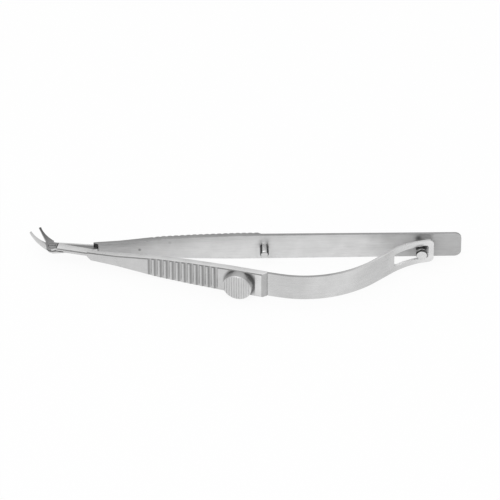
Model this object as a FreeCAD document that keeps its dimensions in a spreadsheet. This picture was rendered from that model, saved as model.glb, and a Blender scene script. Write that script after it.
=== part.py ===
"""Corneal scissors with sprung flat handles, in millimetres, +Z up.

The far handle lies straight along +X and the near handle opens towards -Y. The scissors lie
on the lower long edges of both handles, at Z = 0. The pivot stands upright at mid height,
where the two halves of the shank and the two blades lap face to face. Each piece is built
about the pivot, with the lap at Z = 0, and is then placed so that the row origin is the
middle of the bounding box, at its base.
"""

import FreeCAD, Part
import math
import os
import Sketcher
from FreeCAD import Placement, Rotation, Vector

UP = Vector(0, 0, 1)

DRIVING_SIZES = {
    # handle plates, each centred on the pivot
    "plate_width": 7.3,
    "front_width": 2.4,
    "neck_width": 3.3,
    "neck_place": 17.0,
    "flank_width": 5.8,
    "flank_place": 27.5,
    "grip_width": 6.7,
    "grip_place": 36.0,
    "full_width_place": 46.0,
    "far_overhang": 7.05,
    "far_shoulder": 10.4,
    "far_nose_run": 1.2,
    "far_nose_depth": 0.6,
    "far_thick": 1.3,
    "far_rear_thick": 0.45,
    "far_mid_thick": 0.85,
    "far_step_place": 51.5,
    "far_step_run": 0.8,
    "far_relief": 0.4,
    "far_corner": 1.7,
    "near_length": 55.5,
    "near_shoulder": 9.3,
    "near_thick": 1.7,
    "near_chamfer": 0.22,
    "near_step_run": 1.2,
    "near_nose": 0.9,
    "near_relief": 0.7,
    "relief_run": 10.0,
    # cross grooves in the outer faces
    "groove_pitch": 1.545,
    "groove_radius": 0.6,
    "groove_depth": 0.3,
    "far_groove_depth": 0.18,
    "near_grooves_start": 25.6,
    "near_groove_count": 12,
    "far_grooves_start": 25.6,
    "far_groove_count": 17,
    # shank halves and pivot
    "lap_gap": 0.04,
    "shank_height": 0.9,
    "far_shank_height": 0.65,
    "shank_in_plate": 1.0,
    "near_shank_outer": 1.0,
    "near_shank_outer_rear": 0.65,
    "near_shank_inner": 1.3,
    "near_shank_inner_rear": 1.2,
    "far_shank_outer": 2.4,
    "far_shank_outer_rear": 1.1,
    "far_shank_inner": 1.35,
    "far_shank_inner_rear": 0.55,
    "boss_radius": 1.4,
    "far_boss_radius": 1.1,
    "screw_radius": 0.5,
    "screw_head_radius": 0.9,
    "screw_head_height": 0.35,
    "screw_slot_width": 0.25,
    "screw_slot_depth": 0.15,
    "running_clearance": 0.04,
    # blades: reach is towards -X and side towards +Y, both from the pivot
    "blade_tip_thick": 0.3,
    "blade_tip_width": 0.56,
    "near_tip_reach": 5.1,
    "near_tip_side": 6.7,
    "near_back_reach": 2.2,
    "near_back_side": 3.5,
    "near_back_root": 1.9,
    "near_edge_reach": 2.6,
    "near_edge_side": 2.46,
    "near_edge_root": 1.3,
    "far_tip_reach": 5.45,
    "far_tip_side": 6.55,
    "far_back_reach": 2.6,
    "far_back_side": 1.3,
    "far_back_root": 1.1,
    "far_edge_reach": 2.6,
    "far_edge_side": 3.1,
    "far_edge_root": 1.4,
    # rest pose
    "open_angle": 16.0,
    # leaf spring, as a path of straight and round stretches
    "leaf_thick": 0.7,
    "leaf_width": 7.1,
    "leaf_root_gap": 0.05,
    "leaf_root_slope": 14.0,
    "leaf_root_run": 3.0,
    "leaf_belly_radius": 27.0,
    "leaf_rise_slope": 39.0,
    "leaf_tail_radius": 18.0,
    "leaf_tab_slope": 12.0,
    "leaf_tab_run": 3.05,
    "tab_drop": 1.95,
    "tab_width": 6.8,
    "tab_taper_run": 8.0,
    "tab_corner": 1.2,
    "slot_height": 4.0,
    "slot_length": 8.7,
    "slot_corner": 0.7,
    "slot_bridge": 1.25,
    # guide stud, stop pin and thumb disc
    "stud_radius": 1.4,
    "stud_length": 4.2,
    "stud_neck_radius": 0.95,
    "stud_collar": 1.3,
    "stud_neck": 1.8,
    "stud_round": 0.25,
    "stud_clearance": 0.35,
    "stop_back": 2.45,
    "stop_radius": 1.1,
    "stop_length": 3.1,
    "stop_round": 0.45,
    "stem_recess": 0.02,
    "rivet_radius": 0.7,
    "disc_place": 48.6,
    "disc_radius": 3.65,
    "disc_thick": 2.3,
    "disc_edge": 0.25,
    "disc_groove_pitch": 0.62,
    "disc_groove_width": 0.3,
    "disc_groove_depth": 0.15,
    "disc_groove_count": 11,
}

doc = FreeCAD.newDocument("corneal_scissors")
sheet = doc.addObject("Spreadsheet::Sheet", "sizes")


def fill_sheet():
    tied = {
        "leaf_rise_run": 1.0,
        "tab_end": 0.0,
        "stud_place": "=tab_end - slot_bridge - stud_clearance - stud_radius",
        "stop_place": "=near_length - stop_back",
        "far_length": "=tab_end + far_overhang",
        "shift_x": 0.0,
        "shift_y": 0.0,
    }
    for row, (name, number) in enumerate({**DRIVING_SIZES, **tied}.items(), start=1):
        sheet.set(f"A{row}", name)
        sheet.set(f"B{row}", str(number))
        sheet.setAlias(f"B{row}", name)
    doc.recompute()


def size(name):
    return float(sheet.get(name))


def bind(item, **expressions):
    """Ties properties to the sheet; a double underscore in a name stands for a dot."""
    for name, expression in expressions.items():
        item.setExpression(name.replace("__", "."), expression)
    return item


def polygon(name, plane, corners):
    """A closed sketch on the XY or XZ plane, whose corners are pairs of expressions."""
    sketch = doc.addObject("Sketcher::SketchObject", name)
    if plane == "XZ":
        sketch.Placement = Placement(Vector(), Rotation(Vector(1, 0, 0), 90))
    places = [Vector(*(float(sketch.evalExpression(e)) for e in pair), 0) for pair in corners]
    count = len(places)
    for i in range(count):
        sketch.addGeometry(Part.LineSegment(places[i], places[(i + 1) % count]), False)
    for i in range(count):
        sketch.addConstraint(Sketcher.Constraint("Coincident", i, 2, (i + 1) % count, 1))
    for i, pair in enumerate(corners):
        for kind, number, expression in zip(("DistanceX", "DistanceY"), places[i], pair):
            held = sketch.addConstraint(Sketcher.Constraint(kind, -1, 1, i, 1, number))
            sketch.setExpression(f"Constraints[{held}]", expression)
    return sketch


def prism(name, outline, forward, backward="0"):
    """The outline pushed out along its sketch's normal, by forward and backward."""
    solid = doc.addObject("Part::Extrusion", name)
    solid.Base = outline
    solid.DirMode = "Normal"
    solid.Solid = True
    return bind(solid, LengthFwd=forward, LengthRev=backward)


def cylinder(name, radius, height, axis=UP, **place):
    solid = doc.addObject("Part::Cylinder", name)
    solid.Placement = Placement(Vector(), Rotation(UP, axis))
    return bind(solid, Radius=radius, Height=height, **place)


def fused(name, pieces):
    whole = doc.addObject("Part::MultiFuse", name)
    whole.Shapes = pieces
    return whole


def cut(name, base, tool):
    rest = doc.addObject("Part::Cut", name)
    rest.Base = base
    rest.Tool = tool
    return rest


def common(name, one, other):
    both = doc.addObject("Part::Common", name)
    both.Base = one
    both.Tool = other
    return both


def shaped(name, shape):
    """A piece whose shape is made here from the sheet's sizes."""
    piece = doc.addObject("Part::Feature", name)
    piece.Shape = shape
    return piece


def rounded(name, base, pick, radius):
    """The base with a radius on each edge that pick accepts."""
    doc.recompute()
    fillet = doc.addObject("Part::Fillet", name)
    fillet.Base = base
    edges = base.Shape.Edges
    fillet.Edges = [(i + 1, radius, radius) for i, e in enumerate(edges) if pick(e)]
    return fillet


def chamfered(name, base, pick, width):
    """The base with a flat on each edge that pick accepts."""
    doc.recompute()
    flat = doc.addObject("Part::Chamfer", name)
    flat.Base = base
    edges = base.Shape.Edges
    flat.Edges = [(i + 1, width, width) for i, e in enumerate(edges) if pick(e)]
    return flat


def width_outline(name, shoulder, rear):
    """A handle seen from its side: it widens from the shoulder to the grip."""
    places = [
        (shoulder, "sizes.front_width"),
        ("sizes.neck_place", "sizes.neck_width"),
        ("sizes.flank_place", "sizes.flank_width"),
        ("sizes.grip_place", "sizes.grip_width"),
        ("sizes.full_width_place", "sizes.plate_width"),
        (rear, "sizes.plate_width"),
    ]
    lower = [(along, f"-{width} / 2") for along, width in places]
    upper = [(along, f"{width} / 2") for along, width in reversed(places)]
    return polygon(name, "XZ", lower + upper)


def grooves(name, count, start, depth, outer_face, outward):
    """Round-bottomed cross grooves along Z, sunk into an outer face."""
    tools = []
    for i in range(int(size(count))):
        tools.append(
            cylinder(
                f"{name}_{i + 1}",
                "sizes.groove_radius",
                "2 * sizes.plate_width",
                Placement__Base__x=f"sizes.{start} + {i} * sizes.groove_pitch",
                Placement__Base__y=f"{outer_face} + {outward} * "
                f"(sizes.groove_radius - sizes.{depth})",
                Placement__Base__z="-sizes.plate_width",
            )
        )
    return fused(name, tools)


def far_plate():
    """The far handle: inner face flat, outer face grooved, thinner behind the grooves."""
    half = "sizes.far_thick / 2"
    plan = polygon(
        "far_plan",
        "XY",
        [
            ("sizes.far_shoulder", f"sizes.far_relief + sizes.far_nose_depth - {half}"),
            ("sizes.far_shoulder + sizes.far_nose_run", f"sizes.far_relief - {half}"),
            ("sizes.far_shoulder + sizes.relief_run", f"-{half}"),
            ("sizes.far_length", f"-{half}"),
            ("sizes.far_length", f"sizes.far_rear_thick - {half}"),
            ("sizes.far_step_place + sizes.far_step_run", f"sizes.far_mid_thick - {half}"),
            ("sizes.far_step_place", half),
            ("sizes.far_shoulder", half),
        ],
    )
    side = width_outline("far_side", "sizes.far_shoulder", "sizes.far_length")
    both = common(
        "far_blank",
        prism("far_plan_prism", plan, "sizes.plate_width", "sizes.plate_width"),
        prism("far_side_prism", side, "sizes.far_thick", "sizes.far_thick"),
    )
    rear = size("far_length")
    blank = rounded(
        "far_rounded",
        both,
        lambda e: all(abs(v.X - rear) < 1e-6 for v in e.Vertexes) and e.BoundBox.ZLength < 1e-6,
        size("far_corner"),
    )
    tool = grooves(
        "far_grooves", "far_groove_count", "far_grooves_start", "far_groove_depth", half, "1"
    )
    return cut("far_grooved", blank, tool)


def near_plate():
    """The near handle, which ends in a slope down to the leaf's thickness."""
    half = "sizes.near_thick / 2"
    plan = polygon(
        "near_plan",
        "XY",
        [
            ("sizes.near_shoulder", f"-{half}"),
            ("sizes.near_length - sizes.near_step_run", f"-{half}"),
            ("sizes.near_length", f"{half} - sizes.leaf_thick"),
            ("sizes.near_length", half),
            ("sizes.near_shoulder + sizes.relief_run", half),
            ("sizes.near_shoulder", f"{half} - sizes.near_relief"),
        ],
    )
    side = width_outline("near_side", "sizes.near_shoulder", "sizes.near_length")
    both = common(
        "near_blank",
        prism("near_plan_prism", plan, "sizes.plate_width", "sizes.plate_width"),
        prism("near_side_prism", side, "sizes.near_thick", "sizes.near_thick"),
    )
    front = size("near_shoulder")
    nosed = chamfered(
        "near_nosed",
        both,
        lambda e: all(abs(v.X - front) < 1e-6 and v.Z < 0 for v in e.Vertexes),
        size("near_nose"),
    )
    outer = -size("near_thick") / 2
    edged = chamfered(
        "near_edged",
        nosed,
        lambda e: all(abs(v.Y - outer) < 1e-6 for v in e.Vertexes) and e.BoundBox.XLength > 1e-6,
        size("near_chamfer"),
    )
    tool = grooves(
        "near_grooves", "near_groove_count", "near_grooves_start", "groove_depth", f"-{half}", "-1"
    )
    return cut("near_grooved", edged, tool)


def shank_half(name, shoulder, low, low_rear, high, high_rear, height, upper):
    """One half of the lapped shank, from the pivot into its handle."""
    rear = f"sizes.{shoulder} + sizes.shank_in_plate"
    plan = polygon(
        f"{name}_plan",
        "XY",
        [
            ("0", f"-sizes.{low}"),
            (rear, f"-sizes.{low_rear}"),
            (rear, f"sizes.{high_rear}"),
            ("0", f"sizes.{high}"),
        ],
    )
    gap = "-sizes.lap_gap / 2"
    if upper:
        return prism(name, plan, f"sizes.{height}", gap)
    return prism(name, plan, gap, f"sizes.{height}")


def boss(name, radius, height, upper):
    return cylinder(
        name,
        f"sizes.{radius}",
        f"sizes.{height} - sizes.lap_gap / 2",
        Placement__Base__z="sizes.lap_gap / 2" if upper else f"-sizes.{height}",
    )


def blade(side, high, boss_reach, upper):
    """A flat blade that curves sideways from the boss and thins towards its tip."""
    tip, back, edge = [
        Vector(-size(f"{side}_{spot}_reach"), size(f"{side}_{spot}_side"), 0)
        for spot in ("tip", "back", "edge")
    ]
    back_root = size(f"{side}_back_root")
    edge_root = size(f"{side}_edge_root")
    across = size("blade_tip_width") / 2
    heading = math.atan2(tip.y, tip.x)
    normal = Vector(-math.sin(heading), math.cos(heading), 0)
    tip_left = tip + normal * across
    tip_right = tip - normal * across
    left, right = (edge, back) if upper else (back, edge)
    root_left = Vector(0, -edge_root if upper else -back_root, 0)
    root_right = Vector(0, back_root if upper else edge_root, 0)
    outline = Part.Wire(
        [
            Part.Arc(root_left, left, tip_left).toShape(),
            Part.LineSegment(tip_left, tip_right).toShape(),
            Part.Arc(tip_right, right, root_right).toShape(),
            Part.LineSegment(root_right, root_left).toShape(),
        ]
    )
    gap = size("lap_gap") / 2
    solid = Part.Face(outline).extrude(Vector(0, 0, high - gap))
    solid.translate(Vector(0, 0, gap))
    fall = math.atan2(high - size("blade_tip_thick"), tip.Length - boss_reach)
    wedge = Part.makeBox(2 * tip.Length, 2 * tip.Length, high, Vector(0, -tip.Length, 0))
    wedge.rotate(Vector(), Vector(0, 1, 0), math.degrees(fall))
    wedge.translate(Vector(boss_reach, 0, high))
    wedge.rotate(Vector(), UP, math.degrees(heading))
    solid = solid.cut(wedge)
    return shaped(f"{side}_blade", solid if upper else solid.mirror(Vector(), UP))


def place(piece, label, turned=False):
    """Moves a finished piece to the row frame, after turning what the near arm carries."""
    piece.Label = label
    if turned:
        piece.Placement = Placement(Vector(), Rotation(UP, -1))
        bind(piece, Placement__Rotation__Angle="-sizes.open_angle")
    return bind(
        piece,
        Placement__Base__x="-sizes.shift_x",
        Placement__Base__y="-sizes.shift_y",
        Placement__Base__z="sizes.plate_width / 2",
    )


def rivet_hole(name, along):
    return cylinder(
        name,
        "sizes.rivet_radius",
        "4 * sizes.near_thick",
        Vector(0, 1, 0),
        Placement__Base__x=f"sizes.{along}",
        Placement__Base__y="-2 * sizes.near_thick",
    )


def far_arm():
    shank = shank_half(
        "far_shank",
        "far_shoulder",
        "far_shank_inner",
        "far_shank_inner_rear",
        "far_shank_outer",
        "far_shank_outer_rear",
        "far_shank_height",
        upper=False,
    )
    far_boss = boss("far_boss", "far_boss_radius", "far_shank_height", upper=False)
    far_blade = blade("far", size("far_shank_height"), size("far_boss_radius"), upper=False)
    forging = fused("far_forging", [far_plate(), shank, far_boss, far_blade])
    thread = cylinder(
        "far_thread",
        "sizes.screw_radius",
        "4 * sizes.shank_height",
        Placement__Base__z="-2 * sizes.shank_height",
    )
    holes = fused(
        "far_holes",
        [thread, rivet_hole("stop_hole", "stop_place"), rivet_hole("stud_hole", "stud_place")],
    )
    return place(cut("far_arm", forging, holes), "far_arm")


def near_arm():
    shank = shank_half(
        "near_shank",
        "near_shoulder",
        "near_shank_outer",
        "near_shank_outer_rear",
        "near_shank_inner",
        "near_shank_inner_rear",
        "shank_height",
        upper=True,
    )
    high = size("shank_height")
    edged_shank = chamfered(
        "near_shank_edged",
        shank,
        lambda e: all(v.Y < 0 and abs(v.Z - high) < 1e-6 for v in e.Vertexes),
        size("near_chamfer"),
    )
    near_boss = boss("near_boss", "boss_radius", "shank_height", upper=True)
    near_blade = blade("near", size("shank_height"), size("boss_radius"), upper=True)
    forging = fused("near_forging", [near_plate(), edged_shank, near_boss, near_blade])
    bore = cylinder(
        "near_bore",
        "sizes.screw_radius + sizes.running_clearance",
        "4 * sizes.shank_height",
        Placement__Base__z="-2 * sizes.shank_height",
    )
    seat = cylinder(
        "near_screw_seat",
        "sizes.screw_head_radius + sizes.running_clearance",
        "sizes.shank_height",
        Placement__Base__z="sizes.shank_height - sizes.screw_head_height"
        " - sizes.running_clearance",
    )
    holes = fused("near_holes", [bore, seat, rivet_hole("disc_hole", "disc_place")])
    return place(cut("near_arm", forging, holes), "near_arm", turned=True)


def pivot_screw():
    """A slotted screw: its shank is held in the far boss, and its head is flush."""
    shank = cylinder(
        "screw_shank",
        "sizes.screw_radius",
        "sizes.far_shank_height + sizes.shank_height - sizes.screw_head_height / 2",
        Placement__Base__z="-sizes.far_shank_height",
    )
    head = cylinder(
        "screw_head",
        "sizes.screw_head_radius",
        "sizes.screw_head_height",
        Placement__Base__z="sizes.shank_height - sizes.screw_head_height",
    )
    slot = doc.addObject("Part::Box", "screw_slot")
    bind(
        slot,
        Length="4 * sizes.screw_head_radius",
        Width="sizes.screw_slot_width",
        Height="sizes.shank_height",
        Placement__Base__x="-2 * sizes.screw_head_radius",
        Placement__Base__y="-sizes.screw_slot_width / 2",
        Placement__Base__z="sizes.shank_height - sizes.screw_slot_depth",
    )
    whole = fused("screw_blank", [shank, head])
    return place(cut("pivot_screw", whole, slot), "pivot_screw")


def stem(name, along, thick):
    """A rivet stem through the far handle, flush with its outer face."""
    return cylinder(
        name,
        "sizes.rivet_radius",
        thick,
        Vector(0, 1, 0),
        Placement__Base__x=f"sizes.{along}",
        Placement__Base__y="-sizes.far_thick / 2",
    )


def peg(name, radius, length, along, offset="0"):
    """A round peg that stands out from the far handle's inner face, towards -Y."""
    return cylinder(
        name,
        radius,
        length,
        Vector(0, -1, 0),
        Placement__Base__x=f"sizes.{along}",
        Placement__Base__y=f"-sizes.far_thick / 2 - ({offset})",
    )


def is_rim(edge, low):
    """Whether an edge is the circle round a peg's free end."""
    return edge.BoundBox.YLength < 1e-6 and abs(edge.BoundBox.YMin - low) < 1e-6


def stop_pin():
    pin = peg("stop_peg", "sizes.stop_radius", "sizes.stop_length", "stop_place")
    low = -size("far_thick") / 2 - size("stop_length")
    smooth = rounded("stop_rounded", pin, lambda e: is_rim(e, low), size("stop_round"))
    through = stem("stop_stem", "stop_place", "sizes.far_mid_thick - sizes.stem_recess")
    return place(fused("stop_pin", [smooth, through]), "stop_pin")


def guide_stud():
    """A collar, a neck that runs in the leaf's slot, and a head."""
    collar = peg("stud_base", "sizes.stud_radius", "sizes.stud_collar", "stud_place")
    neck = peg("stud_waist", "sizes.stud_neck_radius", "sizes.stud_length", "stud_place")
    head = peg(
        "stud_head",
        "sizes.stud_radius",
        "sizes.stud_length - sizes.stud_collar - sizes.stud_neck",
        "stud_place",
        "sizes.stud_collar + sizes.stud_neck",
    )
    low = -size("far_thick") / 2 - size("stud_length")
    whole = fused("stud_blank", [collar, neck, head])
    smooth = rounded("stud_rounded", whole, lambda e: is_rim(e, low), size("stud_round"))
    through = stem("stud_stem", "stud_place", "sizes.far_rear_thick")
    return place(fused("guide_stud", [smooth, through]), "guide_stud")


def thumb_disc():
    """A thick disc riveted to the near handle, with fine upright grooves in its face."""
    face = "-sizes.near_thick / 2"
    disc = cylinder(
        "disc_blank",
        "sizes.disc_radius",
        "sizes.disc_thick",
        Vector(0, -1, 0),
        Placement__Base__x="sizes.disc_place",
        Placement__Base__y=face,
    )
    low = -size("near_thick") / 2 - size("disc_thick")
    edge = chamfered("disc_edged", disc, lambda e: is_rim(e, low), size("disc_edge"))
    count = int(size("disc_groove_count"))
    tools = []
    for i in range(count):
        tool = doc.addObject("Part::Box", f"disc_groove_{i + 1}")
        middle = f"sizes.disc_place + {i - (count - 1) / 2} * sizes.disc_groove_pitch"
        bind(
            tool,
            Length="sizes.disc_groove_width",
            Width="sizes.disc_thick",
            Height="4 * sizes.disc_radius",
            Placement__Base__x=f"{middle} - sizes.disc_groove_width / 2",
            Placement__Base__y=f"{face} - 2 * sizes.disc_thick + sizes.disc_groove_depth",
            Placement__Base__z="-2 * sizes.disc_radius",
        )
        tools.append(tool)
    grooved = cut("disc_grooved", edge, fused("disc_grooves", tools))
    through = cylinder(
        "disc_stem",
        "sizes.rivet_radius",
        "sizes.near_thick",
        Vector(0, 1, 0),
        Placement__Base__x="sizes.disc_place",
        Placement__Base__y=face,
    )
    return place(fused("thumb_disc", [grooved, through]), "thumb_disc", turned=True)


def leaf_root():
    """The leaf's hinge line: the middle of its rounded front end, about the pivot."""
    along = size("near_length") + size("leaf_root_gap") + size("leaf_thick") / 2
    across = size("near_thick") / 2 - size("leaf_thick") / 2
    return Rotation(UP, -size("open_angle")).multVec(Vector(along, across, 0))


def leaf_stretches():
    """The leaf's middle line: (run, None) straight on, or (radius, turn in degrees)."""
    belly = size("leaf_root_slope") + size("leaf_rise_slope")
    tail = size("leaf_tab_slope") - size("leaf_rise_slope")
    return [
        (size("leaf_root_run"), None),
        (size("leaf_belly_radius"), belly),
        (size("leaf_rise_run"), None),
        (size("leaf_tail_radius"), tail),
        (size("leaf_tab_run"), None),
    ]


def side_line(start, slope, stretches, offset):
    """The edges of the leaf's plan on one side of its middle line, and where they end."""
    heading = math.radians(slope)
    place_now = start
    edges = []

    def left_of(angle):
        return Vector(-math.sin(angle), math.cos(angle), 0)

    for amount, turn in stretches:
        here = place_now + left_of(heading) * offset
        if turn is None:
            place_now = place_now + Vector(math.cos(heading), math.sin(heading), 0) * amount
            there = place_now + left_of(heading) * offset
            edges.append(Part.LineSegment(here, there).toShape())
            continue
        toward = math.copysign(1, turn)
        centre = place_now + left_of(heading) * (amount * toward)
        reach = amount - offset * toward
        bend = math.radians(turn)
        middle, last = heading + bend / 2, heading + bend
        mid = centre - left_of(middle) * (reach * toward)
        there = centre - left_of(last) * (reach * toward)
        edges.append(Part.Arc(here, mid, there).toShape())
        place_now = centre - left_of(last) * (amount * toward)
        heading = last
    return edges, there, heading


def tie_leaf():
    """Gives the leaf the rise that brings its tab to the stud, and the tab's end its place."""
    _, end, _ = side_line(leaf_root(), -size("leaf_root_slope"), leaf_stretches(), 0)
    rise = math.radians(size("leaf_rise_slope"))
    more = (-size("far_thick") / 2 - size("tab_drop") - end.y) / math.sin(rise)
    sheet.set("leaf_rise_run", str(size("leaf_rise_run") + more))
    sheet.set("tab_end", str(end.x + more * math.cos(rise)))
    doc.recompute()


def leaf_spring():
    """The bowed leaf, with a rounded front end and a slotted, narrower tab at its rear."""
    half = size("leaf_thick") / 2
    slope = -size("leaf_root_slope")
    root = leaf_root()
    stretches = leaf_stretches()
    left, left_end, _ = side_line(root, slope, stretches, half)
    right, right_end, heading = side_line(root, slope, stretches, -half)
    back = Vector(-math.cos(math.radians(slope)), -math.sin(math.radians(slope)), 0)
    front = Part.Arc(left[0].Vertexes[0].Point, root + back * half, right[0].Vertexes[0].Point)
    end = Part.LineSegment(left_end, right_end)
    plan = Part.Wire(Part.__sortEdges__([*left, end.toShape(), *right, front.toShape()]))
    width = size("leaf_width")
    strip = Part.Face(plan).extrude(Vector(0, 0, width))
    strip.translate(Vector(0, 0, -width / 2))
    tip = max(left_end.x, right_end.x)
    side = Part.makePolygon(
        [
            Vector(root.x - width, 0, -width / 2),
            Vector(tip - size("tab_taper_run"), 0, -width / 2),
            Vector(tip - size("tab_taper_run") / 2, 0, -size("tab_width") / 2),
            Vector(tip + half, 0, -size("tab_width") / 2),
            Vector(tip + half, 0, size("tab_width") / 2),
            Vector(tip - size("tab_taper_run") / 2, 0, size("tab_width") / 2),
            Vector(tip - size("tab_taper_run"), 0, width / 2),
            Vector(root.x - width, 0, width / 2),
            Vector(root.x - width, 0, -width / 2),
        ]
    )
    reach = Vector(0, 2 * root.y, 0)
    strip = strip.common(Part.Face(side).extrude(reach))
    strip = strip.makeFillet(
        size("tab_corner"),
        [
            e
            for e in strip.Edges
            if e.BoundBox.ZLength < 1e-6 and min(v.X for v in e.Vertexes) > tip - half
        ],
    )
    slot_rear = size("stud_place") + size("stud_radius") + size("stud_clearance")
    slot = Part.makeBox(
        size("slot_length"),
        abs(reach.y),
        size("slot_height"),
        Vector(slot_rear - size("slot_length"), reach.y, -size("slot_height") / 2),
    )
    slot = slot.makeFillet(
        size("slot_corner"),
        [e for e in slot.Edges if e.BoundBox.YLength > size("slot_length")],
    )
    return place(shaped("leaf_spring", strip.cut(slot)), "leaf_spring")


def centre_on_origin(pieces):
    """Shifts every piece so that the whole box is centred over the origin."""
    doc.recompute()
    box = FreeCAD.BoundBox()
    for piece in pieces:
        box.add(piece.Shape.optimalBoundingBox(False))
    sheet.set("shift_x", str(box.Center.x))
    sheet.set("shift_y", str(box.Center.y))
    doc.recompute()
    return box


def write(pieces):
    """Checks every object and each piece's solid, then writes one file for each piece."""
    for item in doc.Objects:
        bad = {"Invalid", "Error"} & set(item.State)
        if bad:
            raise RuntimeError(f"{item.Name} is {sorted(bad)}")
    for piece in pieces:
        shape = piece.Shape
        if shape.isNull() or not shape.isValid() or len(shape.Solids) != 1:
            raise RuntimeError(f"{piece.Label} isn't one valid solid")
    os.makedirs("parts", exist_ok=True)
    for piece in pieces:
        piece.Shape.exportStep(f"parts/{piece.Label}.step")


fill_sheet()
tie_leaf()
pieces = [
    far_arm(),
    near_arm(),
    pivot_screw(),
    stop_pin(),
    guide_stud(),
    thumb_disc(),
    leaf_spring(),
]
box = centre_on_origin(pieces)
write(pieces)
hinge = leaf_root()
print("box", round(box.XLength, 3), round(box.YLength, 3), round(box.ZLength, 3), "low", box.ZMin)
print("pivot", -round(size("shift_x"), 4), -round(size("shift_y"), 4))
print("leaf hinge", round(hinge.x - size("shift_x"), 4), round(hinge.y - size("shift_y"), 4))
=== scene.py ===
"""The looks of the corneal scissors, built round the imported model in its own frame, in metres."""

import math

import bpy
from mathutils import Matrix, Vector


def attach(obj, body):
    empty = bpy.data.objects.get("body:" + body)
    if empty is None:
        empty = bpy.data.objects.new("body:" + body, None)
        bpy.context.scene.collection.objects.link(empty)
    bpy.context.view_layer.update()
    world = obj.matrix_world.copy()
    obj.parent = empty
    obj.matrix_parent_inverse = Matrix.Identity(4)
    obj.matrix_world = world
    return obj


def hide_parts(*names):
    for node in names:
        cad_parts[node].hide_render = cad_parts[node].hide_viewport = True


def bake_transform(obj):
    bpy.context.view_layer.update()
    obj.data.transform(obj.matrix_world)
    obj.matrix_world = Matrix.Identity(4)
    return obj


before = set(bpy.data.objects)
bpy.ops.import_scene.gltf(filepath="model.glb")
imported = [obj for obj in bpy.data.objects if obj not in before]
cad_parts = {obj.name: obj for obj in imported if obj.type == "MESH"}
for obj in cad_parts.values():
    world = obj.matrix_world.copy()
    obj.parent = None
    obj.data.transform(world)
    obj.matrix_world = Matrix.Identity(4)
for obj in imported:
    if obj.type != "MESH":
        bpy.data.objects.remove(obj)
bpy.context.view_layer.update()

MM = 0.001
PIVOT = Vector((-48.3443, 4.7067, 3.65)) * MM
LEAF_HINGE = Vector((5.5280, -10.2208, 3.65)) * MM
OPENING = math.radians(16)
UP = Vector((0, 0, 1))
NEAR_WAY = Vector((math.cos(OPENING), -math.sin(OPENING), 0))

MERGE_REACH = 2e-6
FLAT_ANGLE = math.radians(0.5)
SHARP_ANGLE = math.radians(32)

LEAF_ROOT_END = 55.75
LEAF_SET_IN = 0.12 * MM
LEAF_BEND_LENGTH = 14


# Mesh work


def select_only(obj):
    bpy.ops.object.select_all(action="DESELECT")
    obj.select_set(True)
    bpy.context.view_layer.objects.active = obj


def edit(obj):
    select_only(obj)
    bpy.ops.object.mode_set(mode="EDIT")
    bpy.ops.mesh.select_all(action="DESELECT")


def leave_edit():
    bpy.ops.object.mode_set(mode="OBJECT")


def merged_copy(node, name):
    """A copy of a CAD node's mesh whose loose triangles are joined into whole faces."""
    obj = bpy.data.objects.new(name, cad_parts[node].data.copy())
    bpy.context.scene.collection.objects.link(obj)
    obj.data.materials.clear()
    edit(obj)
    bpy.ops.mesh.select_all(action="SELECT")
    bpy.ops.mesh.customdata_custom_splitnormals_clear()
    bpy.ops.mesh.remove_doubles(threshold=MERGE_REACH)
    bpy.ops.mesh.dissolve_limited(angle_limit=FLAT_ANGLE)
    leave_edit()
    return obj


def cut_faces(obj, place, direction, reach):
    """Cuts the faces no further than reach from the pivot, in millimetres, along a plane."""
    edit(obj)
    leave_edit()
    for face in obj.data.polygons:
        face.select = (face.center - PIVOT).length < reach * MM
    bpy.ops.object.mode_set(mode="EDIT")
    bpy.ops.mesh.bisect(plane_co=place, plane_no=direction)
    leave_edit()


def soften(obj, width):
    """Breaks the sharp edges with a small round, as a polishing wheel leaves them."""
    bevel = obj.modifiers.new("edges", "BEVEL")
    bevel.width = width
    bevel.segments = 3
    bevel.limit_method = "ANGLE"
    bevel.angle_limit = SHARP_ANGLE
    bevel.miter_outer = "MITER_ARC"
    select_only(obj)
    bpy.ops.object.modifier_apply(modifier=bevel.name)


def smooth(obj):
    select_only(obj)
    bpy.ops.object.shade_smooth_by_angle(angle=SHARP_ANGLE)


# Places on the two arms, in millimetres from the pivot


def on_near(along, across):
    """A place along and across the near handle."""
    x = along * math.cos(OPENING) + across * math.sin(OPENING)
    y = -along * math.sin(OPENING) + across * math.cos(OPENING)
    return PIVOT + Vector((x, y, 0)) * MM


def on_far(along, up):
    """A place along and up the far handle's inner face."""
    inner_side = -0.65
    return PIVOT + Vector((along, inner_side, up)) * MM


def from_pivot(place):
    return (place - PIVOT) / MM


def turned_to_near(vector):
    """A vector in the near handle's own directions: along, across and up."""
    along = vector.x * math.cos(OPENING) - vector.y * math.sin(OPENING)
    across = vector.x * math.sin(OPENING) + vector.y * math.cos(OPENING)
    return Vector((along, across, vector.z))


# Parts of the steel finishes


def node_tree(name):
    material = bpy.data.materials.new(name)
    material.use_nodes = True
    nodes = material.node_tree.nodes
    return material, nodes, material.node_tree.links, nodes["Principled BSDF"]


def stretched_noise(nodes, links, stretch, scale, detail, turn=0.0):
    """A noise on Object coordinates, drawn out by stretch along each axis."""
    place = nodes.new("ShaderNodeTexCoord")
    mapping = nodes.new("ShaderNodeMapping")
    mapping.inputs["Scale"].default_value = stretch
    mapping.inputs["Rotation"].default_value = (0, 0, turn)
    noise = nodes.new("ShaderNodeTexNoise")
    noise.inputs["Scale"].default_value = scale
    noise.inputs["Detail"].default_value = detail
    links.new(place.outputs["Object"], mapping.inputs["Vector"])
    links.new(mapping.outputs["Vector"], noise.inputs["Vector"])
    return noise.outputs["Fac"]


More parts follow.
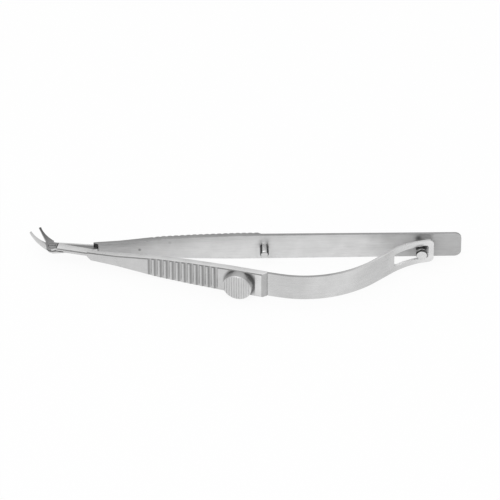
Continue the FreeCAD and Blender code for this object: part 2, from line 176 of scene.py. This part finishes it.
def spread(nodes, links, value, low, high, start=0.35, end=0.65):
    """The value stretched from start..end to low..high."""
    ranged = nodes.new("ShaderNodeMapRange")
    ranged.inputs["From Min"].default_value = start
    ranged.inputs["From Max"].default_value = end
    ranged.inputs["To Min"].default_value = low
    ranged.inputs["To Max"].default_value = high
    links.new(value, ranged.inputs["Value"])
    return ranged.outputs["Result"]


def mixed(nodes, links, amount, one, two, blend="MIX"):
    """Colour one turned into colour two by amount; either may be a colour or a socket."""
    mix = nodes.new("ShaderNodeMix")
    mix.data_type = "RGBA"
    mix.blend_type = blend
    links.new(amount, mix.inputs["Factor"])
    for socket, colour in ((mix.inputs["A"], one), (mix.inputs["B"], two)):
        if isinstance(colour, tuple):
            socket.default_value = colour
        else:
            links.new(colour, socket)
    return mix.outputs["Result"]


def grey(level):
    return (level, level, level, 1)


def along_x(nodes, links, stops):
    """A painted light and shade that changes along the object's X, from pairs of place and level.
    """
    start = stops[0][0]
    end = stops[-1][0]
    place = nodes.new("ShaderNodeTexCoord")
    split = nodes.new("ShaderNodeSeparateXYZ")
    links.new(place.outputs["Object"], split.inputs["Vector"])
    share = spread(nodes, links, split.outputs["X"], 0.0, 1.0, start, end)
    ramp = nodes.new("ShaderNodeValToRGB")
    elements = ramp.color_ramp.elements
    while len(elements) < len(stops):
        elements.new(0.5)
    for element, (at, level) in zip(elements, stops):
        element.position = (at - start) / (end - start)
        element.color = grey(level)
    links.new(share, ramp.inputs["Fac"])
    return ramp.outputs["Color"]


def round_mark(nodes, links, centre, inner, outer, turn):
    """1 inside inner and 0 outside outer, round a place on an upright face turned by turn."""
    through = 1000
    place = nodes.new("ShaderNodeTexCoord")
    mapping = nodes.new("ShaderNodeMapping")
    mapping.vector_type = "TEXTURE"
    mapping.inputs["Location"].default_value = centre
    mapping.inputs["Rotation"].default_value = (0, 0, turn)
    mapping.inputs["Scale"].default_value = (1, through, 1)
    length = nodes.new("ShaderNodeVectorMath")
    length.operation = "LENGTH"
    links.new(place.outputs["Object"], mapping.inputs["Vector"])
    links.new(mapping.outputs["Vector"], length.inputs[0])
    return spread(nodes, links, length.outputs["Value"], 1.0, 0.0, inner, outer)


# Grain directions, as the stretch of the grain along X, Y and Z

EVEN = (1, 1, 1)
LENGTHWISE = (0.03, 1, 1)
ALONG_BLADE = (1, 0.1, 1)
ALONG_LEAF = (0.03, 0.03, 1)
UPRIGHT = (1, 1, 0.05)
SCRATCHED = (0.05, 1.6, 1.2)

CLOUD_SCALE = 260.0
SCRATCH_SCALE = 5200.0
SCRATCH_SLANT = 0.12
SCRATCH_RANGE = (0.6, 0.72)
BUMP_HEIGHT = 0.00002


def steel(
    name,
    tone,
    roughness,
    stretch,
    grain,
    relief,
    turn=0.0,
    stops=None,
    marks=(),
    metallic=1.0,
):
    """Bare steel: drawn grain, faint clouding, fine scratches and uneven polish, with painted light
    and shade along X and darker round spots.
    """
    material, nodes, links, shader = node_tree(name)
    shader.inputs["Metallic"].default_value = metallic
    lines = stretched_noise(nodes, links, stretch, grain, 6.0, turn)
    clouds = stretched_noise(nodes, links, EVEN, CLOUD_SCALE, 3.0)
    slant = turn + SCRATCH_SLANT
    scratches = stretched_noise(nodes, links, SCRATCHED, SCRATCH_SCALE, 2.0, slant)

    cloudy = spread(nodes, links, clouds, 0.0, 1.0)
    colour = mixed(nodes, links, cloudy, grey(tone * 0.94), grey(tone * 1.03))
    worn = spread(nodes, links, scratches, 0.0, 0.8, *SCRATCH_RANGE)
    colour = mixed(nodes, links, worn, colour, grey(0.9), "MULTIPLY")
    drawn = spread(nodes, links, lines, 0.0, 0.6)
    colour = mixed(nodes, links, drawn, colour, grey(0.93), "MULTIPLY")
    # Painted light and shade: the colour is darkened or lightened along X.
    if stops:
        full = spread(nodes, links, lines, 0.97, 1.0)
        colour = mixed(nodes, links, full, colour, along_x(nodes, links, stops), "MULTIPLY")
    # Darker round spots multiplied into the colour.
    for centre, inner, outer, level in marks:
        mark = round_mark(nodes, links, centre, inner, outer, turn)
        colour = mixed(nodes, links, mark, colour, grey(level), "MULTIPLY")
    links.new(colour, shader.inputs["Base Color"])

    drawn_roughness = spread(nodes, links, lines, roughness * 0.8, roughness * 1.15)
    clouded_roughness = spread(nodes, links, clouds, -0.03, 0.03)
    uneven = nodes.new("ShaderNodeMath")
    uneven.operation = "ADD"
    links.new(drawn_roughness, uneven.inputs[0])
    links.new(clouded_roughness, uneven.inputs[1])
    links.new(uneven.outputs["Value"], shader.inputs["Roughness"])

    scratch_depth = spread(nodes, links, scratches, 0.0, 0.5, *SCRATCH_RANGE)
    height = nodes.new("ShaderNodeMath")
    height.operation = "SUBTRACT"
    links.new(lines, height.inputs[0])
    links.new(scratch_depth, height.inputs[1])
    bump = nodes.new("ShaderNodeBump")
    bump.inputs["Strength"].default_value = relief
    bump.inputs["Distance"].default_value = BUMP_HEIGHT
    links.new(height.outputs["Value"], bump.inputs["Height"])
    links.new(bump.outputs["Normal"], shader.inputs["Normal"])
    return material


def satin(name, tone, roughness=0.34, **more):
    """Steel drawn lengthwise to a satin."""
    return steel(name, tone, roughness, LENGTHWISE, 6000.0, 0.35, **more)


def near_satin(name, tone, **more):
    """The same satin with its grain along the near handle."""
    return satin(name, tone, turn=-OPENING, **more)


def cross_cut(name, tone):
    """Steel with an upright grain, as a cutter leaves it in a groove."""
    return steel(name, tone, 0.36, UPRIGHT, 6000.0, 0.35)


# Finishes and painted shade of the far arm

far_face = satin(
    "far_inner_steel",
    0.88,
    0.42,
    # Painted shade and reflection: darker towards the front, where the face looks at the near arm,
    # and towards the rear, behind the leaf's end.
    stops=[
        (-0.040, 0.585),
        (-0.029, 0.63),
        (-0.024, 0.80),
        (-0.018, 0.835),
        (-0.0115, 0.92),
        (0.0, 0.95),
        (0.010, 0.905),
        (0.030, 0.91),
        (0.0335, 0.82),
        (0.0375, 0.67),
        (0.042, 0.585),
        (0.0545, 0.565),
    ],
    # Darker round spots: a small pit's painted shade, a faint spot, and the painted shadow and
    # reflection of the stud and the leaf's end.
    marks=[
        (on_far(21.9, -0.37), 0.0002, 0.0005, 0.45),
        (on_far(29.45, 1.75), 0.0001, 0.0006, 0.8),
        (on_far(91.6, 2.2), 0.0002, 0.0010, 0.42),
    ],
    metallic=0.5,
)
far_outer = satin("far_outer_steel", 0.72, 0.38, metallic=0.85)
# Painted shade: a darker copy of the satin for the far arm's upper and lower edge faces.
edge_steel = satin("edge_steel", 0.36)
shank_shade = satin("shank_shade_steel", 0.26)
# Painted shade: a darker copy for the faces in the grooves of both arms.
groove_steel = cross_cut("groove_steel", 0.44)
light_blade = steel("light_blade_steel", 0.65, 0.30, ALONG_BLADE, 5000.0, 0.15, metallic=0.8)
# Painted shade: a near-black for faces in shadow or dark reflection: the shoulder's notch, the gap
# under the near shank, the step by the boss, and the flanks of the pin and stud.
painted_shade_black = steel("black_painted_shade_steel", 0.07, 0.34, EVEN, 5000.0, 0.15)

# Finishes and painted light and shade of the near arm

near_face = near_satin("near_steel", 0.617, metallic=0.85)
near_disc_face = near_satin(
    "near_steel_round_disc",
    0.632,
    # Painted shade: a dark ring round the foot of the disc.
    marks=[(on_near(48.9, 0), 0.0038, 0.0046, 0.27)],
    metallic=0.85,
)
# Painted light: a lighter copy of the near satin for the faces on top, with painted light and shade
# along its length.
near_top = near_satin(
    "near_top_steel",
    0.67,
    stops=[(-0.044, 1.12), (-0.036, 1.0), (-0.029, 0.98), (-0.012, 1.08)],
    metallic=0.85,
)
# Painted shade: a dark copy for the near arm's long chamfers.
near_edge = near_satin("near_edge_steel", 0.19)
# Painted shade: a darker copy for the slope at the near arm's rear end.
slope_steel = near_satin("slope_steel", 0.50, metallic=0.85)
# Painted highlight: a bright band across the face just before that slope.
painted_highlight_steel = near_satin("painted_highlight_steel", 0.78, metallic=0.6)
# Painted light: a lighter patch on the near shank's side face by the boss.
wedge_steel = satin("wedge_steel", 0.66, metallic=0.6)
# Painted shade in the near grooves: the walls facing away from the pivot darkest, the floors
# (groove_steel) next, the walls facing the pivot least.
land_steel = cross_cut("land_steel", 0.57)
dark_groove = cross_cut("dark_groove_steel", 0.34)
# Painted dark reflection: a dark copy for the near blade and boss, darker still towards the tip.
dark_blade = steel(
    "dark_blade_steel",
    0.31,
    0.24,
    ALONG_BLADE,
    5000.0,
    0.15,
    stops=[(-0.0525, 0.45), (-0.0505, 0.55), (-0.049, 0.95), (-0.045, 1.0)],
)

# Finishes and painted light and shade of the leaf and the small pieces

spring = steel(
    "spring_steel",
    0.74,
    0.30,
    ALONG_LEAF,
    7000.0,
    0.10,
    # Painted light and shade along the leaf's length.
    stops=[
        (0.005, 0.90),
        (0.0085, 0.82),
        (0.0137, 0.835),
        (0.0167, 0.92),
        (0.025, 0.92),
        (0.031, 0.81),
        (0.0347, 0.78),
        (0.040, 0.92),
        (0.047, 1.08),
    ],
)
# Painted shade: a darker copy for the leaf's upper edge, painted lighter again towards the rear.
spring_edge = steel(
    "spring_edge_steel",
    0.40,
    0.30,
    ALONG_LEAF,
    5000.0,
    0.25,
    stops=[(0.020, 1.0), (0.031, 1.65), (0.042, 1.7)],
)
# Painted light: a lighter copy for the walls of the leaf's slot.
slot_steel = steel("slot_wall_steel", 0.92, 0.40, ALONG_LEAF, 5000.0, 0.25, metallic=0.2)
polished = steel("polished_steel", 0.72, 0.24, EVEN, 3000.0, 0.08, metallic=0.85)
screw = steel("screw_steel", 0.32, 0.24, EVEN, 3000.0, 0.1)
disc_steel = steel("disc_steel", 0.68, 0.38, UPRIGHT, 5000.0, 0.25, metallic=0.85)
# Painted shade: darker copies for the disc's grooves and its round wall.
disc_groove = steel("disc_groove_steel", 0.61, 0.40, UPRIGHT, 5000.0, 0.25)
disc_wall = steel("disc_wall_steel", 0.50, 0.40, UPRIGHT, 5000.0, 0.25)


# Which finish, with its painted light and shade, a face takes, from its place in millimetres from
# the pivot and its normal

LEVEL = 0.9
SHADE_START = 0.5
SHADE_END = 10.4
FAR_SHANK_END = 9.5
SHOULDER_END = 12
FAR_GROOVES_START = 25
FAR_GROOVES_END = 51.4

BLADE_END = 1.2
BOSS_END = 1.3
RIM_END = 1.45
WEDGE_START = 0.2
WEDGE_END = 3.2
WEDGE_FOOT = 0.34
NEAR_GROOVES_START = 24.9
NEAR_GROOVES_END = 43.6
BRIGHT_START = 52.7
SLOPE_START = 54.3

STUD_COLLAR = -0.6
STUD_HEAD = -3.7
STUD_CROWN = -4.25


def far_finish_and_shading(place, normal):
    """The far arm is toned by its blade, shoulder, edges, grooves and two broad faces; the shank's
    shade, the black shoulder and the darker edges and grooves are painted shade.
    """
    in_shade = SHADE_START < place.x < SHADE_END and place.y < 1.15
    if in_shade and normal.z > LEVEL:
        return "shade"
    if place.x < FAR_SHANK_END:
        return "blade"
    if place.x < SHOULDER_END and normal.x < -0.2:
        return "shoulder"
    if normal.z > 0.35 or normal.z < -0.5:
        return "edge"
    in_grooves = FAR_GROOVES_START < place.x < FAR_GROOVES_END and 0.33 < place.y < 0.64
    if in_grooves and normal.y > 0.2:
        return "groove"
    return "outer" if normal.y > 0.5 else "inner"


def near_finish_and_shading(place, normal):
    """The near arm is toned by its blade, wedge, edges, grooves and end slope; the black gap and
    step, the dark blade, the dark chamfers, the groove faces and the slope are painted shade, and
    the lighter top, wedge and bright band are painted light.
    """
    faces_front = abs(normal.z) < 0.3 and normal.y < 0.1
    if place.x < WEDGE_END and place.y < 0 and faces_front:
        if place.z < WEDGE_FOOT:
            return "black"
        return "wedge" if place.x > WEDGE_START else "blade"
    if BLADE_END < place.x < RIM_END and normal.z > LEVEL:
        return "black"
    if place.x < BOSS_END:
        return "blade"
    if 0.3 < normal.z < 0.95 and normal.y < -0.2:
        return "long_edge"
    in_grooves = NEAR_GROOVES_START < place.x < NEAR_GROOVES_END and -0.83 < place.y < -0.5
    if in_grooves and normal.y < -0.2:
        if normal.x > 0.25:
            return "groove_front"
        return "groove_floor" if normal.x > -0.25 else "groove_rear"
    if place.x > SLOPE_START and normal.y < -0.5:
        return "slope"
    if place.x > BRIGHT_START and normal.y < -0.7:
        return "bright"
    if place.x > NEAR_GROOVES_END and normal.y < -0.7:
        return "round_disc"
    return "top" if normal.z > 0.95 else "face"


def leaf_finish_and_shading(place, normal):
    """The leaf's narrow upper edge is darker than its broad faces, and its slot is lighter: painted
    shade on the edge and painted light in the slot.
    """
    upper_edge = 2.6
    if normal.z < 0.35:
        return "face"
    return "edge" if place.z > upper_edge else "slot"


def disc_finish_and_shading(place, normal):
    """The disc's grooves are darker than its lands, and its round wall darker still: painted shade.
    """
    if normal.y > -0.3:
        return "wall"
    return "groove" if normal.y < -LEVEL and -3.12 < place.y < -2.9 else "land"


def pin_finish_and_shading(place, normal):
    """The pin's flanks are darker than its crown and its free end: a painted dark reflection."""
    return "dark" if abs(normal.x) > 0.45 and normal.z > -0.5 else "bright"


def stud_finish_and_shading(place, normal):
    """The stud's collar, neck and head rim are darker than its head's crown and end: painted shade
    and painted dark reflection.
    """
    if place.y > STUD_COLLAR:
        return "bright"
    if place.y > STUD_HEAD or -0.85 < normal.y < -0.15:
        return "dark"
    at_crown = normal.z > 0.6 and place.y > STUD_CROWN
    return "bright" if normal.y < -0.5 or at_crown else "dark"


# Pieces


def dressed(node, name, body, finishes_and_shading, width, finish_and_shading_at=None, cuts=()):
    """Stands for a CAD node: the same form, with broken edges and a material for each zone, some of
    them painted light and shade.
    """
    obj = merged_copy(node, name)
    for place, direction, reach in cuts:
        cut_faces(obj, place, direction, reach)
    for material in finishes_and_shading.values():
        obj.data.materials.append(material)
    soften(obj, width)
    if finish_and_shading_at:
        order = list(finishes_and_shading)
        for face in obj.data.polygons:
            place, normal = from_pivot(face.center), face.normal
            if body == "near_side":
                place, normal = turned_to_near(place), turned_to_near(normal)
            face.material_index = order.index(finish_and_shading_at(place, normal))
    smooth(obj)
    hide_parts(node)
    if body:
        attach(obj, body)
    return obj


SHANK_SIDE = PIVOT + Vector((0, 1.95, 0)) * MM
SHANK_SIDE_WAY = (0.114, 1, 0)
SHADE_PLACE = PIVOT + Vector((SHADE_START, 0, 0)) * MM
WEDGE_FOOT_PLACE = PIVOT + UP * WEDGE_FOOT * MM
CROWN_PLACE = PIVOT + Vector((0, STUD_CROWN, 0)) * MM

dressed(
    "far_arm",
    "far_handle_and_blade",
    "far_side",
    {
        "inner": far_face,
        "edge": edge_steel,
        "blade": light_blade,
        "shoulder": painted_shade_black,
        "groove": groove_steel,
        "shade": shank_shade,
        "outer": far_outer,
    },
    0.00006,
    far_finish_and_shading,
    cuts=(
        (SHANK_SIDE, SHANK_SIDE_WAY, 9),
        (SHADE_PLACE, (1, 0, 0), 9),
    ),
)
dressed(
    "near_arm",
    "near_handle_and_blade",
    "near_side",
    {
        "face": near_face,
        "top": near_top,
        "blade": dark_blade,
        "groove_floor": groove_steel,
        "round_disc": near_disc_face,
        "black": painted_shade_black,
        "slope": slope_steel,
        "bright": painted_highlight_steel,
        "groove_rear": land_steel,
        "groove_front": dark_groove,
        "long_edge": near_edge,
        "wedge": wedge_steel,
    },
    0.00010,
    near_finish_and_shading,
    cuts=(
        (on_near(BLADE_END, 0), NEAR_WAY, 10),
        (on_near(RIM_END, 0), NEAR_WAY, 10),
        (on_near(WEDGE_END, 0), NEAR_WAY, 10),
        (on_near(BRIGHT_START, 0), NEAR_WAY, 70),
        (WEDGE_FOOT_PLACE, UP, 9),
    ),
)
leaf = dressed(
    "leaf_spring",
    "leaf",
    None,
    {"face": spring, "edge": spring_edge, "slot": slot_steel},
    0.00008,
    leaf_finish_and_shading,
)
dressed(
    "stop_pin",
    "stop_pin_polished",
    "far_side",
    {"bright": polished, "dark": painted_shade_black},
    0.00003,
    pin_finish_and_shading,
)
dressed(
    "guide_stud",
    "guide_stud_polished",
    "far_side",
    {"bright": polished, "dark": painted_shade_black},
    0.00005,
    stud_finish_and_shading,
    cuts=((CROWN_PLACE, (0, 1, 0), 120),),
)
dressed(
    "thumb_disc",
    "grooved_disc",
    "near_side",
    {"land": disc_steel, "groove": disc_groove, "wall": disc_wall},
    0.00003,
    disc_finish_and_shading,
)
dressed(
    "pivot_screw",
    "pivot_screw_slotted",
    "far_side",
    {"all": screw},
    0.00003,
)


def join_leaf_to_arm():
    """Sets the leaf's front end into the arm and cuts its root finely across."""
    for vertex in leaf.data.vertices:
        if turned_to_near(from_pivot(vertex.co)).x < LEAF_ROOT_END:
            vertex.co -= NEAR_WAY * LEAF_SET_IN
    edit(leaf)
    for step in range(LEAF_BEND_LENGTH):
        across_leaf = (LEAF_HINGE.x + (step + 0.5) * MM, 0, 0)
        bpy.ops.mesh.select_all(action="SELECT")
        bpy.ops.mesh.bisect(plane_co=across_leaf, plane_no=(1, 0, 0))
    leave_edit()
    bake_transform(leaf)


join_leaf_to_arm()


# Floor, world, lamp and camera

FLOOR_DROP = 0.00002
FLOOR_GLOW_SHARE = 0.9
WORLD_STRENGTH = 1.08
CAMERA_AZIMUTH = -1.2
CAMERA_ELEVATION = 40
CAMERA_LENS = 400
CAMERA_SENSOR = 36
VIEW_WIDTH = 125 * MM


def toward(azimuth, elevation):
    """The direction from the object to a viewer or lamp, from its angles in degrees."""
    a = math.radians(azimuth)
    e = math.radians(elevation)
    return Vector((math.sin(a) * math.cos(e), -math.cos(a) * math.cos(e), math.sin(e)))


def add_floor():
    """A pale floor that looks white to the camera and in reflections, and holds the shadow."""
    bpy.ops.mesh.primitive_plane_add(size=6, location=(0, 0, -FLOOR_DROP))
    obj = bpy.context.object
    obj.name = "floor"
    material, nodes, links, shader = node_tree("floor_white")
    shader.inputs["Base Color"].default_value = grey(0.92)
    shader.inputs["Roughness"].default_value = 0.9
    shader.inputs["Specular IOR Level"].default_value = 0.0
    path = nodes.new("ShaderNodeLightPath")
    seen = path.outputs["Is Camera Ray"]
    for kind in ("Is Glossy Ray", "Is Transmission Ray"):
        either = nodes.new("ShaderNodeMath")
        either.operation = "MAXIMUM"
        links.new(seen, either.inputs[0])
        links.new(path.outputs[kind], either.inputs[1])
        seen = either.outputs["Value"]
    share = nodes.new("ShaderNodeMath")
    share.operation = "MULTIPLY"
    share.inputs[1].default_value = FLOOR_GLOW_SHARE
    glow = nodes.new("ShaderNodeEmission")
    blend = nodes.new("ShaderNodeMixShader")
    links.new(seen, share.inputs[0])
    links.new(share.outputs["Value"], blend.inputs["Fac"])
    links.new(shader.outputs["BSDF"], blend.inputs[1])
    links.new(glow.outputs["Emission"], blend.inputs[2])
    links.new(blend.outputs["Shader"], nodes["Material Output"].inputs["Surface"])
    obj.data.materials.append(material)


def add_world():
    """A grey horizon that rises to white overhead."""
    world = bpy.data.worlds.new("studio")
    bpy.context.scene.world = world
    world.use_nodes = True
    nodes = world.node_tree.nodes
    links = world.node_tree.links
    back = nodes["Background"]
    coordinate = nodes.new("ShaderNodeTexCoord")
    split = nodes.new("ShaderNodeSeparateXYZ")
    ramp = nodes.new("ShaderNodeValToRGB")
    horizon, overhead = ramp.color_ramp.elements
    horizon.position = 0.0
    horizon.color = grey(0.35)
    overhead.position = 0.9
    overhead.color = grey(1)
    links.new(coordinate.outputs["Generated"], split.inputs["Vector"])
    links.new(split.outputs["Z"], ramp.inputs["Fac"])
    links.new(ramp.outputs["Color"], back.inputs["Color"])
    back.inputs["Strength"].default_value = WORLD_STRENGTH


def add_lamp(name, azimuth, elevation, distance, width, watts):
    way = toward(azimuth, elevation)
    light = bpy.data.lights.new(name, "AREA")
    light.shape = "DISK"
    light.size = width
    light.energy = watts
    obj = bpy.data.objects.new(name, light)
    bpy.context.scene.collection.objects.link(obj)
    obj.location = way * distance
    obj.rotation_mode = "QUATERNION"
    obj.rotation_quaternion = way.to_track_quat("Z", "Y")


def add_camera():
    """The camera looks at the middle of the scissors from almost in front, high up."""
    back = toward(CAMERA_AZIMUTH, CAMERA_ELEVATION)
    turn = math.radians(CAMERA_AZIMUTH)
    right = Vector((math.cos(turn), math.sin(turn), 0))
    upward = back.cross(right)
    target = PIVOT + right * 49.5 * MM - upward * 0.45 * MM
    data = bpy.data.cameras.new("camera")
    data.lens = CAMERA_LENS
    data.sensor_width = CAMERA_SENSOR
    data.clip_end = 20
    obj = bpy.data.objects.new("camera", data)
    bpy.context.scene.collection.objects.link(obj)
    obj.location = target + back * (VIEW_WIDTH * data.lens / data.sensor_width)
    obj.rotation_mode = "QUATERNION"
    obj.rotation_quaternion = back.to_track_quat("Z", "Y")
    bpy.context.scene.camera = obj


add_floor()
add_world()
add_lamp("high_left", azimuth=-35, elevation=60, distance=1.0, width=0.9, watts=1.8)
add_camera()
bpy.context.scene.view_settings.view_transform = "Standard"
